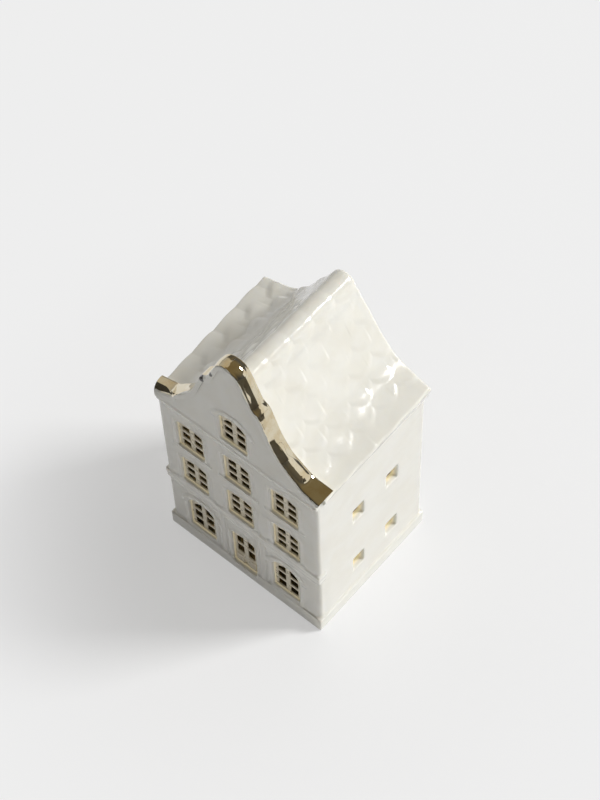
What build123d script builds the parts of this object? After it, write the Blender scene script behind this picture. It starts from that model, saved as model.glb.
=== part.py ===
"""Porcelain tealight house: luted clay walls, tiled roof, gilt gable coping and a tealight.

Millimetres. +Z is up, the facade looks along -Y, and the origin is on the ground under the
middle of the house.
"""
import os
from math import acos, ceil, cos, degrees, radians, sin, tan

from build123d import *

os.makedirs("parts", exist_ok=True)

# House body
body_width = 80.0
body_depth = 65.4
wall_top = 98.0
wall_thickness = 3.6
facade_thickness = 4.0
floor_thickness = 4.0
corner_radius = 2.0
plinth_height = 8.0
plinth_step = 0.8

# Roof slopes: straight under the ridge, then a concave sweep that flattens towards the eave
eave_overhang = 1.4
eave_height = 99.5
eave_pitch = 18.0
roof_pitch = 58.0
roof_sweep_radius = 44.4
roof_thickness = 3.6
ridge_radius = 5.0
verge_overhang = 1.0

# Scalloped tile courses
course_count = 8
first_shown_course = 2
tile_width = 13.0
tile_rise = 0.9
tile_head_rise = 0.1
tile_thickness = 1.4
tile_lap = 2.0
tile_drip = 0.5
scallop_depth = 3.8
eave_scallop_depth = 0.6

# Ridge caps: each rises towards the back and steps down onto the next
ridge_cap_count = 5
ridge_cap_front_rise = 0.4
ridge_cap_back_rise = 1.2
ridge_cap_half_width = 5.8
ridge_cap_scallop = 1.6
ridge_cap_skirt = 4.0
ridge_cap_gap = 0.2

# Front gable: round crown, neck, small shoulder, then a sweep out to the eaves
crown_height = 154.0
crown_radius = 6.5
neck_pitch = 68.0
neck_height = 137.6
shoulder_height = 135.3
shoulder_radius = 1.4
gable_pitch = 70.0
gable_sweep_radius = 37.0
gable_overhang = 1.5
gable_eave_height = 102.3

# Gilt coping on the edge of the front gable, deeper towards the eaves
coping_thickness = 1.6
coping_lip = 0.5
coping_depth = 7.2
coping_end_depth = 9.0
coping_flare_start = 24.0

# Mouldings across the facade
string_course_foot = 38.0
string_course_height = 6.0
string_course_proud = 0.35
string_bead_height = 2.4
string_bead_proud = 0.6
cornice_foot = 96.0
cornice_height = 2.0
cornice_proud = 0.4

# Mouldings round the windows and the door
surround_width = 1.8
surround_proud = 0.3
sill_height = 1.8
sill_proud = 0.6
sill_reach = 1.2
hood_gap = 2.2
hood_width = 1.4
hood_proud = 0.45
pilaster_width = 3.0
pilaster_proud = 0.45
pilaster_gap = 1.0

# Front openings: width, height, rise of the arched head and height of the sill
column_inset = 16.3
ground_column_inset = 17.5
ground_window_width = 13.4
ground_window_height = 21.7
ground_window_rise = 3.0
ground_window_sill = 10.3
upper_window_width = 13.2
upper_window_height = 18.1
upper_window_rise = 1.2
first_floor_sill = 45.6
second_floor_sill = 71.8
attic_window_width = 13.2
attic_window_height = 18.0
attic_window_rise = 2.4
attic_window_sill = 101.0
door_width = 12.4
door_height = 25.0
door_rise = 1.2
door_sill = 5.6

# Window lattices and the door leaf
lattice_setback = 1.0
lattice_thickness = 2.4
lattice_rows = 3
lattice_stile = 1.5
lattice_rail = 1.0
lattice_head = 3.2
lattice_mullion = 2.2
lattice_bar = 1.6
lattice_fit = 0.05
door_panel_margin = 0.9
door_panel_proud = 0.4

# Side windows
side_window_width = 6.6
side_window_height = 9.2
side_window_pitch = 20.8
side_window_offset = 2.2
side_window_low = 24.2
side_window_high = 62.9

# Rear doorway
doorway_width = 46.0
doorway_spring = 40.0

# Tealight
cup_radius = 19.2
cup_height = 16.5
cup_wall = 0.4
cup_rim = 0.5
cup_stand = 0.1
wax_height = 12.5
wax_fit = 0.05
holder_radius = 6.0
holder_thickness = 0.4
collar_radius = 1.5
collar_height = 4.0
wick_radius = 0.7
wick_fit = 0.05
wick_length = 18.5

# Planes that the pieces share
half_width = body_width / 2
inner_half_width = half_width - wall_thickness
column_pitch = half_width - column_inset
ground_column_pitch = half_width - ground_column_inset
front_y = -body_depth / 2
facade_back_y = front_y + facade_thickness
back_y = body_depth / 2
back_wall_y = back_y - wall_thickness
roof_back_y = back_y + verge_overhang
roof_length = roof_back_y - facade_back_y
eave_half_width = half_width + eave_overhang
gable_half_width = half_width + gable_overhang
coping_front_y = front_y - coping_lip
coping_end_y = coping_front_y + coping_end_depth
parapet_back_y = coping_front_y + coping_depth
lattice_y = front_y + lattice_setback

# Smaller than any feature, for telling which edges lie on a plane
touch = 1e-6

# Opening sizes, as width, height and rise
ground_window = (ground_window_width, ground_window_height, ground_window_rise)
upper_window = (upper_window_width, upper_window_height, upper_window_rise)
attic_window = (attic_window_width, attic_window_height, attic_window_rise)
door_opening = (door_width, door_height, door_rise)

# Windows of the facade: node name, opening size, middle and sill height
windows = [
    ("ground_floor_left_window", ground_window, -ground_column_pitch, ground_window_sill),
    ("ground_floor_right_window", ground_window, ground_column_pitch, ground_window_sill),
    ("attic_window", attic_window, 0.0, attic_window_sill),
]
for storey, storey_sill in (("first_floor", first_floor_sill), ("second_floor", second_floor_sill)):
    for side, column in (("left", -1), ("centre", 0), ("right", 1)):
        windows.append((f"{storey}_{side}_window", upper_window, column * column_pitch, storey_sill))


def block(x, y, z):
    """Box between two limits on each axis."""
    size = [high - low for low, high in (x, y, z)]
    middle = [(low + high) / 2 for low, high in (x, y, z)]
    return Pos(*middle) * Box(*size)


def upright(sketch, y_low, y_high):
    """Extrudes a sketch drawn in X and Z from one Y to another."""
    return extrude(Plane.XZ.offset(-y_high) * sketch, amount=y_high - y_low)


def mirrored(points):
    """The same points on the other side of the middle, in reverse order."""
    return [(-x, other) for x, other in reversed(points)]


def sweep_centre(end, radius, pitch):
    """Centre of the concave sweep that reaches its end at this pitch."""
    angle = radians(pitch)
    return (end[0] + radius * sin(angle), end[1] + radius * cos(angle))


def swept_point(centre, radius, pitch):
    """Point of a concave sweep where its slope has this pitch."""
    angle = radians(pitch)
    return (centre[0] - radius * sin(angle), centre[1] - radius * cos(angle))


def rounded_corners(shape, y):
    """Rounds the upright corners of a wall that lie on its outer face."""
    corners = shape.edges().filter_by(Axis.Z).filter_by(lambda edge: abs(edge.center().Y - y) < touch)
    return fillet(corners, corner_radius)


# Roof curves, right of the ridge
eave = (eave_half_width, eave_height)
roof_centre = sweep_centre(eave, roof_sweep_radius, eave_pitch)
sweep_start = swept_point(roof_centre, roof_sweep_radius, roof_pitch)
apex = (0.0, sweep_start[1] + sweep_start[0] * tan(radians(roof_pitch)))
straight_length = sweep_start[0] / cos(radians(roof_pitch))
slope_length = straight_length + roof_sweep_radius * radians(roof_pitch - eave_pitch)
soffit_radius = roof_sweep_radius + roof_thickness
soffit_start = swept_point(roof_centre, soffit_radius, roof_pitch)
soffit_apex = (0.0, soffit_start[1] + soffit_start[0] * tan(radians(roof_pitch)))
seat_pitch = degrees(acos((roof_centre[1] - wall_top) / soffit_radius))
ridge_top = apex[1] + ridge_cap_back_rise / cos(radians(roof_pitch))


def roof_space():
    """Section under the roof slopes, down to the top of the walls."""
    middle = swept_point(roof_centre, soffit_radius, (roof_pitch + seat_pitch) / 2)
    seat = swept_point(roof_centre, soffit_radius, seat_pitch)
    left = mirrored([soffit_start, middle, seat])
    edges = [
        Line(soffit_apex, soffit_start),
        ThreePointArc(soffit_start, middle, seat),
        Line(seat, left[0]),
        ThreePointArc(*left),
        Line(left[2], soffit_apex),
    ]
    return make_face(Curve() + edges)


def roof_outside():
    """Section of the whole roof without its tiles, filled in under the slopes."""
    middle = swept_point(roof_centre, roof_sweep_radius, (roof_pitch + eave_pitch) / 2)
    foot = (eave_half_width, wall_top)
    left = mirrored([sweep_start, middle, eave, foot])
    edges = [
        Line(apex, sweep_start),
        ThreePointArc(sweep_start, middle, eave),
        Polyline(eave, foot, left[0], left[1]),
        ThreePointArc(*left[1:]),
        Line(left[3], apex),
    ]
    face = make_face(Curve() + edges)
    ridge = face.vertices().sort_by(Axis.Y)[-1]
    return fillet(ridge, ridge_radius)


def slope_at(distance):
    """Point and outward normal of the right slope, at a distance down from the ridge."""
    if distance <= straight_length:
        pitch = radians(roof_pitch)
        point = (distance * cos(pitch), apex[1] - distance * sin(pitch))
    else:
        pitch = radians(roof_pitch) - (distance - straight_length) / roof_sweep_radius
        point = swept_point(roof_centre, roof_sweep_radius, degrees(pitch))
    return Vector(point[0], 0, point[1]), Vector(sin(pitch), 0, cos(pitch))


def tile_course(number):
    """One course of scalloped tiles on the right slope, every other one staggered by half a tile."""
    exposure = (slope_length + tile_drip) / course_count
    low = min(number * exposure, slope_length)
    overrun = number * exposure - low
    high = max((number - 1) * exposure - tile_lap, ridge_radius)
    foot_point, foot_normal = slope_at(low)
    head_point, head_normal = slope_at(high)
    foot = foot_point + foot_normal * tile_rise
    head = head_point + head_normal * tile_head_rise
    length = (head - foot).length + overrun
    up_slope = (head - foot).normalized()
    along = Vector(0, 1, 0)
    plane = Plane(foot - up_slope * overrun, x_dir=along, z_dir=along.cross(up_slope))
    stagger = (number - 1) % 2 * tile_width / 2
    tile_count = ceil((roof_length + stagger) / tile_width)
    depth = scallop_depth if number < course_count else eave_scallop_depth
    edges = []
    for index in range(tile_count):
        start = index * tile_width - stagger
        tip = (start + tile_width / 2, 0)
        edges.append(ThreePointArc((start, depth), tip, (start + tile_width, depth)))
    first = (-stagger, depth)
    last = (tile_count * tile_width - stagger, depth)
    edges.append(Polyline(last, (last[0], length), (first[0], length), first))
    trim = Pos(roof_length / 2, length / 2) * Rectangle(roof_length, length)
    course = make_face(Curve() + edges) & trim
    return Pos(0, facade_back_y, 0) * extrude(plane * course, amount=-tile_thickness)


def right_roof_slope(coping):
    """Right slope with its tile courses, rebated for the coping."""
    right_half = Pos(body_width / 2, ridge_top / 2) * Rectangle(body_width, ridge_top)
    shape = upright((roof_outside() - roof_space()) & right_half, facade_back_y, roof_back_y)
    for number in range(first_shown_course, course_count + 1):
        shape += tile_course(number)
    shape -= block((-body_width, 0), (-body_depth, body_depth), (0, ridge_top))
    return shape - coping


def ridge_cap_section(rise, y):
    """Section of a ridge cap that stands this high over the ridge."""
    outer_apex = apex[1] + rise / cos(radians(roof_pitch))
    edge_height = outer_apex - ridge_cap_half_width * tan(radians(roof_pitch))
    right = [(ridge_cap_half_width, edge_height), (ridge_cap_half_width, edge_height - ridge_cap_skirt)]
    section = make_face(Polyline((0, outer_apex), *right, *mirrored(right), close=True))
    top = section.vertices().sort_by(Axis.Y)[-1]
    return Plane.XZ.offset(-y) * fillet(top, ridge_radius + rise)


def ridge_cap_plan(front, back):
    """Plan of a ridge cap, its two sides rounded like the tiles."""
    narrow = ridge_cap_half_width - ridge_cap_scallop
    middle = (front + back) / 2
    edges = [
        Line((-narrow, front), (narrow, front)),
        ThreePointArc((narrow, front), (ridge_cap_half_width, middle), (narrow, back)),
        Line((narrow, back), (-narrow, back)),
        ThreePointArc((-narrow, back), (-ridge_cap_half_width, middle), (-narrow, front)),
    ]
    return Pos(0, 0, wall_top) * extrude(make_face(Curve() + edges), amount=ridge_top)


def ridge_caps(slopes):
    """Row of ridge tiles that saddle the two slopes."""
    pitch = (roof_back_y - parapet_back_y) / ridge_cap_count
    caps = []
    for index in range(ridge_cap_count):
        front = parapet_back_y + index * pitch + ridge_cap_gap
        back = parapet_back_y + (index + 1) * pitch
        ends = [
            ridge_cap_section(ridge_cap_front_rise, front),
            ridge_cap_section(ridge_cap_back_rise, back),
        ]
        cap = loft(ends) & ridge_cap_plan(front, back)
        cap -= upright(roof_space(), front, back)
        for slope in slopes:
            cap -= slope
        caps += cap.solids()
    return Compound(children=caps)


def gable_face():
    """Front gable down to below the eaves, run on past them at the eave's pitch."""
    run_on = gable_half_width + coping_end_depth
    base = wall_top / 2
    end = (gable_half_width, gable_eave_height)
    centre = sweep_centre(end, gable_sweep_radius, eave_pitch)
    start = swept_point(centre, gable_sweep_radius, gable_pitch)
    middle = swept_point(centre, gable_sweep_radius, (gable_pitch + eave_pitch) / 2)
    tail = (run_on, gable_eave_height - coping_end_depth * tan(radians(eave_pitch)))
    shoulder = (start[0] - (shoulder_height - start[1]) / tan(radians(gable_pitch)), shoulder_height)
    crown_side = crown_radius * sin(radians(neck_pitch))
    crown_end = (crown_side, crown_height - crown_radius + crown_radius * cos(radians(neck_pitch)))
    neck = (crown_side + (crown_end[1] - neck_height) / tan(radians(neck_pitch)), neck_height)
    left = mirrored([crown_end, neck, shoulder, start, middle, end, tail, (run_on, base)])
    edges = [
        ThreePointArc(left[-1], (0, crown_height), crown_end),
        Polyline(crown_end, neck, shoulder, start),
        ThreePointArc(start, middle, end),
        Polyline(end, tail, (run_on, base), *left[:3]),
        ThreePointArc(*left[2:5]),
        Polyline(*left[4:]),
    ]
    face = make_face(Curve() + edges)
    corners = [v for v in face.vertices() if shoulder_height - touch < v.Y < neck_height + touch]
    return fillet(corners, shoulder_radius)


def coping_footprint():
    """Plan of the coping from its front to its back edge, deeper towards the eaves."""
    back = [
        (coping_flare_start, parapet_back_y),
        (gable_half_width, coping_end_y),
        (gable_half_width, coping_front_y),
    ]
    plan = make_face(Polyline(*back, *mirrored(back), close=True))
    return Pos(0, 0, wall_top) * extrude(plan, amount=crown_height)


def parapet(gable_core, slopes):
    """Thickening of the gable above the roof, as deep as the coping."""
    clear = Pos(0, crown_height) * Rectangle(body_width, 2 * (crown_height - wall_top))
    above = (gable_core & clear) - roof_outside()
    shape = upright(above, facade_back_y, coping_end_y) & coping_footprint()
    for slope in slopes:
        shape -= slope
    return shape


def opening(size, grow=0.0):
    """Outline of an opening with an arched head, its sill's middle at the sketch's origin."""
    width, height, rise = size
    half = width / 2 + grow
    edges = [
        Polyline((-half, height - rise), (-half, -grow), (half, -grow), (half, height - rise)),
        ThreePointArc((half, height - rise), (0, height + grow), (-half, height - rise)),
    ]
    return make_face(Curve() + edges)


def bar_level(height, number):
    """Middle of a lattice bar over the sill, counted from the lowest bar."""
    row_pitch = (height - lattice_rail - lattice_head + lattice_bar) / lattice_rows
    return lattice_rail + number * row_pitch - lattice_bar / 2


def lattice(size):
    """Sketch of a pierced lattice, two panes wide."""
    width, height, rise = size
    panes = opening((width - 2 * lattice_stile, height - lattice_rail - lattice_head, rise))
    bars = Pos(0, height / 2) * Rectangle(lattice_mullion, height)
    for number in range(1, lattice_rows):
        bars += Pos(0, bar_level(height, number)) * Rectangle(width, lattice_bar)
    return opening(size, -lattice_fit) - (Pos(0, lattice_rail) * panes - bars)


def window_lattice(size, middle, level):
    """Lattice set back in its opening."""
    return upright(Pos(middle, level) * lattice(size), lattice_y, lattice_y + lattice_thickness)


def front_door():
    """Door leaf: pierced above, two blind panels below the lowest bar."""
    leaf_width = door_width - 2 * lattice_fit
    blind_top = bar_level(door_height, 1)
    blind_height = blind_top - lattice_fit
    blind = Pos(0, lattice_fit + blind_height / 2) * Rectangle(leaf_width, blind_height)
    sketch = Pos(0, door_sill) * (lattice(door_opening) + blind)
    leaf = upright(sketch, lattice_y, lattice_y + lattice_thickness)
    near = lattice_mullion / 2
    far = leaf_width / 2 - door_panel_margin
    low = door_sill + door_panel_margin
    high = door_sill + blind_top - door_panel_margin
    for x in ((near, far), (-far, -near)):
        leaf += block(x, (lattice_y - door_panel_proud, lattice_y), (low, high))
    return leaf


def band(foot, height, proud, side_step):
    """Moulding across the facade, returned a little round the corners."""
    reach = half_width + side_step
    return block((-reach, reach), (front_y - proud, facade_back_y), (foot, foot + height))


def sill(size, middle, level):
    """Sill under an upper window."""
    reach = size[0] / 2 + surround_width + sill_reach
    x = (middle - reach, middle + reach)
    return block(x, (front_y - sill_proud, front_y), (level - sill_height, level))


def hood(size, middle, level):
    """Arched hood moulding over a window."""
    width, height, rise = size
    arch = opening(size, hood_gap + hood_width) - opening(size, hood_gap)
    upper = Pos(0, height) * Rectangle(2 * width, 2 * (rise + hood_gap))
    return upright(Pos(middle, level) * (arch & upper), front_y - hood_proud, front_y)


def door_pilasters():
    """Two upright strips beside the door, from the plinth to the string course."""
    near = door_width / 2 + surround_width + pilaster_gap
    far = near + pilaster_width
    y = (front_y - pilaster_proud, front_y)
    z = (plinth_height, string_course_foot)
    return block((near, far), y, z) + block((-far, -near), y, z)


def front_facade(gable_core, slopes):
    """Front wall with its relief, pierced for the windows and the door."""
    wall = Pos(0, wall_top) * Rectangle(body_width, 2 * wall_top)
    low_wall = Pos(0, wall_top / 2) * Rectangle(body_width, wall_top)
    shape = rounded_corners(upright((gable_core & wall) + low_wall, front_y, facade_back_y), front_y)
    shape += parapet(gable_core, slopes)
    bead_foot = string_course_foot + string_course_height - string_bead_height
    shape += band(0.0, plinth_height, plinth_step, plinth_step)
    shape += band(string_course_foot, string_course_height, string_course_proud, string_course_proud)
    shape += band(bead_foot, string_bead_height, string_bead_proud, string_bead_proud)
    shape += band(cornice_foot, cornice_height, cornice_proud, 0.0)
    shape += door_pilasters()
    openings = [(size, middle, level) for _, size, middle, level in windows]
    openings.append((door_opening, 0.0, door_sill))
    for size, middle, level in openings:
        surround = Pos(middle, level) * opening(size, surround_width)
        shape += upright(surround, front_y - surround_proud, front_y)
        if size is upper_window:
            shape += sill(size, middle, level)
        elif size is not door_opening:
            shape += hood(size, middle, level)
    for size, middle, level in openings:
        shape -= upright(Pos(middle, level) * opening(size), front_y - plinth_step, facade_back_y)
    return shape


def right_wall():
    """Side wall with its plinth and four plain windows."""
    y = (facade_back_y, back_wall_y)
    shape = block((inner_half_width, half_width), y, (0, wall_top))
    shape += block((inner_half_width, half_width + plinth_step), y, (0, plinth_height))
    for level in (side_window_low, side_window_high):
        for side in (-1, 1):
            middle = side_window_offset + side * side_window_pitch / 2
            shape -= block(
                (inner_half_width, half_width),
                (middle - side_window_width / 2, middle + side_window_width / 2),
                (level - side_window_height / 2, level + side_window_height / 2))
    return shape


def back_wall():
    """Rear wall and gable with the arched doorway for the tealight."""
    low_wall = Pos(0, wall_top / 2) * Rectangle(body_width, wall_top)
    shape = rounded_corners(upright(low_wall + roof_space(), back_wall_y, back_y), back_y)
    reach = half_width + plinth_step
    shape += block((-reach, reach), (back_wall_y, back_y + plinth_step), (0, plinth_height))
    rise = doorway_width / 2
    doorway = opening((doorway_width, doorway_spring - floor_thickness + rise, rise))
    return shape - upright(Pos(0, floor_thickness) * doorway, back_wall_y, back_y + plinth_step)


def floor_plate():
    """Floor between the walls, which the tealight stands on."""
    return block(
        (-inner_half_width, inner_half_width), (facade_back_y, back_wall_y), (0, floor_thickness))


def upright_cylinder(radius, height, foot):
    """Cylinder on the tealight's axis."""
    return Pos(0, 0, foot + height / 2) * Cylinder(radius, height)


def tealight():
    """The tealight's four pieces, standing on the floor plate."""
    base = floor_thickness + cup_stand
    inside = base + cup_wall
    rim = base + cup_height
    inner_radius = cup_radius - cup_wall
    rim_radius = cup_radius + cup_rim
    cup_section = Polyline(
        (0, base), (cup_radius, base), (cup_radius, rim - cup_rim), (rim_radius, rim - cup_rim),
        (rim_radius, rim), (inner_radius, rim), (inner_radius, inside), (0, inside), close=True)
    wick_foot = inside + holder_thickness
    wick_hole = upright_cylinder(wick_radius + wick_fit, wick_length, wick_foot)
    foot = upright_cylinder(holder_radius, holder_thickness, inside)
    foot += upright_cylinder(collar_radius, collar_height, inside)
    return {
        "tealight_cup": revolve(Plane.XZ * make_face(cup_section), Axis.Z),
        "tealight_wax": upright_cylinder(inner_radius - wax_fit, wax_height, inside) - foot - wick_hole,
        "wick_holder": foot - wick_hole,
        "tealight_wick": upright_cylinder(wick_radius, wick_length, wick_foot),
    }


# Assembly
gable = gable_face()
gable_core = offset(gable, amount=-coping_thickness)
coping = upright(gable - gable_core, coping_front_y, coping_end_y) & coping_footprint()
right_slope = right_roof_slope(coping)
left_slope = mirror(right_slope, about=Plane.YZ)
slopes = (right_slope, left_slope)

nodes = {
    "floor_plate": floor_plate(),
    "front_facade": front_facade(gable_core, slopes),
    "right_wall": right_wall(),
    "left_wall": mirror(right_wall(), about=Plane.YZ),
    "back_wall": back_wall(),
    "right_roof_slope": right_slope,
    "left_roof_slope": left_slope,
    "ridge_caps": ridge_caps(slopes),
    "gable_coping": coping,
    "front_door": front_door(),
}
for name, size, middle, level in windows:
    nodes[name] = window_lattice(size, middle, level)
nodes.update(tealight())

for name, shape in nodes.items():
    export_step(shape, f"parts/{name}.step")
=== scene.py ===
"""Looks of the porcelain tealight house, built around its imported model.

Metres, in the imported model's own frame: +Z is up and the facade looks along -Y.
"""
from math import cos, floor, pi, radians, sin, tan

import bmesh
import bpy
from mathutils import Matrix, Vector, noise as lumps


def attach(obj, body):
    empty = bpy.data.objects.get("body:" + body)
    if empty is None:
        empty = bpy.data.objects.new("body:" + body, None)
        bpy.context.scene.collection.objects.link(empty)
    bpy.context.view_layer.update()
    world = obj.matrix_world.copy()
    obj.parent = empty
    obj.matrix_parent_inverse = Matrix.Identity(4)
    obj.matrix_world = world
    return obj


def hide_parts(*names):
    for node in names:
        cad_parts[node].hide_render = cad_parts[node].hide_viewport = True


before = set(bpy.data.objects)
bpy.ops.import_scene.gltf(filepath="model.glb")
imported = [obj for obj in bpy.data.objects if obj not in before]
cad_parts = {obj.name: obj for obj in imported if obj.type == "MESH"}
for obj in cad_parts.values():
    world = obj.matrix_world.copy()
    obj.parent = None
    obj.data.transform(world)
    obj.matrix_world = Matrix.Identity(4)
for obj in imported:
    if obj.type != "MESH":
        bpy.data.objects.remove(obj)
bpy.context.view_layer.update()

scene = bpy.context.scene
mm = 0.001

# Camera at the photograph's viewing angle
image_height = 800
focal_pixels = 2064.36
sensor = 36.0
camera_azimuth = radians(42.43)
camera_elevation = radians(57.38)
camera_roll = radians(-2.7)
camera_distance = 820.66 * mm
camera_pivot = Vector((0.0, 3.3, 60.0)) * mm
pan_right = 1.18 * mm
pan_up = 16.08 * mm

# Planes where the clay pieces are luted to each other
facade_back = -28.7 * mm
back_wall_inside = 29.1 * mm
wall_top = 98.0 * mm
inner_half_width = 36.4 * mm
lattice_front = -31.7 * mm
lattice_back = -29.3 * mm
floor_top = 4.0 * mm
ground = 0.0

# Underside of the roof: straight under the ridge, then a concave sweep to the eave
roof_pitch = radians(58.0)
eave_pitch = radians(18.0)
eave_half_width = 41.4 * mm
eave_height = 99.5 * mm
roof_sweep_radius = 44.4 * mm
roof_thickness = 3.6 * mm
soffit_radius = roof_sweep_radius + roof_thickness
sweep_middle_x = eave_half_width + roof_sweep_radius * sin(eave_pitch)
sweep_middle_z = eave_height + roof_sweep_radius * cos(eave_pitch)
sweep_start_x = sweep_middle_x - soffit_radius * sin(roof_pitch)
sweep_start_z = sweep_middle_z - soffit_radius * cos(roof_pitch)
soffit_apex_z = sweep_start_z + sweep_start_x * tan(roof_pitch)

# Outside of the roof: the ridge's rounding and how far the slopes run from it
ridge_radius = 5.0 * mm
roof_back = 33.7 * mm
slope_start_x = sweep_middle_x - roof_sweep_radius * sin(roof_pitch)
slope_start_z = sweep_middle_z - roof_sweep_radius * cos(roof_pitch)
roof_apex_z = slope_start_z + slope_start_x * tan(roof_pitch)
straight_run = slope_start_x / cos(roof_pitch)
slope_run = straight_run + roof_sweep_radius * (roof_pitch - eave_pitch)
ridge_arc = ridge_radius * roof_pitch
ridge_tangent = ridge_radius * tan(roof_pitch)
ridge_middle_z = roof_apex_z - ridge_radius / cos(roof_pitch)
eave_way = slope_run - ridge_tangent + ridge_arc

# Tile courses as they show through the glaze; for each slope their relief, softness and crown
tile_width = 13.0 * mm
tile_start = 0.86
scallop_start = 0.1
course_count = 8
course_run = (slope_run + 0.5 * mm) / course_count
scallop_depth = 4.2 * mm
tile_joint_rise = 0.32 * mm
tile_joint_width = 1.0 * mm
low_joint_cut = 0.8
low_courses = (5, 7)
crowned_courses = (4, 7)
least_tile_share = 0.1
usual_tile_share = 0.8
tile_share_spread = 1.1
course_rises = {
    2: 0.1 * mm, 3: 0.12 * mm, 4: 0.14 * mm, 5: 0.16 * mm, 6: 0.2 * mm, 7: 0.2 * mm, 8: 0.16 * mm}
course_softness = {
    2: 2.2 * mm, 3: 2.2 * mm, 4: 2.0 * mm, 5: 1.8 * mm, 6: 1.6 * mm, 7: 1.6 * mm, 8: 1.0 * mm}
right_tiles = (1.0, 1.0, 0.0)
left_tiles = (2.2, 1.7, 0.14 * mm)
eave_wave = 0.16 * mm
eave_wave_run = 6.0 * mm
roof_rim = 1.3 * mm
rim_shares = (0.02, 0.08, 0.18, 0.32, 0.5, 0.72)
roof_column_step = 0.34 * mm
slope_row_step = 0.45 * mm
ridge_row_step = 0.4 * mm
hand_wobble = 0.16 * mm
wobble_run = 8.0 * mm
wobble_width = 9.0 * mm
corner_lift = 3.2 * mm
corner_spread = 0.6 * mm
corner_reach = 24.0 * mm

# Ridge caps as they show through the glaze
cap_count = 5
cap_front = -26.0 * mm
cap_pitch = (roof_back - cap_front) / cap_count
cap_low_rise = 0.3 * mm
cap_high_rise = 0.5 * mm
cap_cusp_run = 8.2 * mm
cap_tip_run = 11.0 * mm
cap_step_start = 0.74
cap_feather_in = 2.5 * mm
cap_feather_out = 1.5 * mm
ridge_piece_run = 13.5 * mm

# Gilt coping: the gable's outline, and how the band lies along it
crown_height = 154.0 * mm
crown_radius = 6.5 * mm
neck_pitch = radians(68.0)
neck_height = 137.6 * mm
shoulder_height = 135.3 * mm
gable_pitch = radians(70.0)
gable_sweep_radius = 37.0 * mm
gable_half_width = 41.5 * mm
gable_eave_height = 102.3 * mm
coping_front = -33.2 * mm
coping_depth = 7.2 * mm
coping_end_depth = 9.0 * mm
coping_left_depth = 6.9 * mm
coping_flare_start = 24.0 * mm
coping_bed = 2.2 * mm
coping_edge = 0.9 * mm
coping_end_edge = 2.1 * mm
coping_left_edge = 5.2 * mm
coping_edge_kept = 5.0 * mm
coping_edge_faded = 17.0 * mm
coping_step = 0.4 * mm
coping_corner_passes = 14
coping_edge_steps = 6
coping_flat_steps = 20
coping_end_flat = 8.0 * mm
coping_end_pitch = radians(17.0)
coping_heel_pitch = radians(44.0)
coping_heel_run = 2.5 * mm
neck_dome = 0.95 * mm
flank_dome = 0.22 * mm
foot_dome = 0.75 * mm
flank_dome_start = 116.0 * mm
flank_dome_full = 122.0 * mm
left_dome_share = 0.35
coping_swell = 0.12 * mm
coping_swell_run = 5.5 * mm
coping_swell_width = 7.0 * mm
# Two near-black dots painted on the coping's front: their centres and radius
dark_dot_centres = [(-13.3 * mm, -32.9 * mm, 135.3 * mm), (-8.5 * mm, -32.9 * mm, 143.3 * mm)]
dark_dot_radius = 1.7 * mm

# Gilding wiped off the coping's front: places along x between which a change is made, and depths
wiped_end = (-27.0 * mm, -36.0 * mm)
wiped_end_depths = (0.3 * mm, 1.0 * mm)
wiped_flank_foot = (-28.0 * mm, -25.0 * mm)
wiped_flank_top = (-7.0 * mm, -9.0 * mm)
wiped_flank_depth = 1.3 * mm
wiped_edge = (0.04 * mm, -0.04 * mm)
wiped_rag = 0.12 * mm

# Gold lustre inside, its stain, and the painted glow on the windows' reveals (emission that stands in for
# light through the clay): where each starts and where it is full
lining_bleed = 0.3 * mm
lining_edge = (0.0, 0.12 * mm)
stain_depth = (-2.4 * mm, 0.2 * mm)
stain_height = (126.0 * mm, 122.0 * mm)
side_reveal_depth = (-3.2 * mm, -0.6 * mm)
side_reveal_length = (28.0 * mm, 27.0 * mm)
side_reveal_height = (wall_top, wall_top - 1.0 * mm)
front_reveal_depth = (-0.9 * mm, -0.2 * mm)
front_reveal_side = (-1.6 * mm, -0.6 * mm)
front_reveal_back = (1.4 * mm, 1.0 * mm)
front_reveal_share = 0.5
pierced_depth = (lattice_front + 0.3 * mm, lattice_front + 0.7 * mm)

# Lamps: azimuth and elevation in degrees, distance and size in metres, watts and colour
lamp_target = Vector((0.0, 0.0, 60.0 * mm))
white_light = (1.0, 1.0, 1.0)
warm_light = (1.0, 0.96, 0.88)
lamps = {
    "window_panel": (138, 40.5, 4.0, (0.95, 1.2), 151.0, white_light),
    "low_card": (122, 12.5, 4.0, (3.2, 1.75), 14.0, white_light),
    "left_reflector": (270, 28, 3.0, (3.6, 2.9), 14.0, warm_light),
}

# Floor, and the share of white that it shows under the house and out in the open
floor_half_width = 4.0
floor_white = 0.86
near_lift = 0.5
open_lift = 0.95
near_floor = 60.0 * mm
open_floor = 180.0 * mm

# Upright dark flags beside and in front of the house: two ends of the foot, foot and top, in metres
grey_flags = {"side_flag": ((0.31, -0.5), (0.31, 0.07), 0.025, 0.17)}
black_flags = {
    "front_flag": ((-0.3, -0.4), (0.1, -0.4), 0.0, 0.16),
    "left_flag": ((-0.475, -0.155), (-0.287, -0.41), 0.0, 0.45),
}

# Dark flag that lies on the floor to the left: its corners, in metres
floor_flag = [(-0.62, -0.3, 0.002), (-0.2, -0.3, 0.002), (-0.2, -0.05, 0.002), (-0.62, -0.05, 0.002)]

# Softening of the clay under its glaze
glaze_voxel = 0.36 * mm
seam_run_on = 3.0 * mm
seam_reach = 0.02 * mm
glaze_passes = 14
glaze_pull = 0.5
kept_share = 0.33
lattice_voxel = 0.16 * mm
lattice_passes = 4
lattice_kept_share = 0.5
clay_sharp_turn = radians(50.0)

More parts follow.
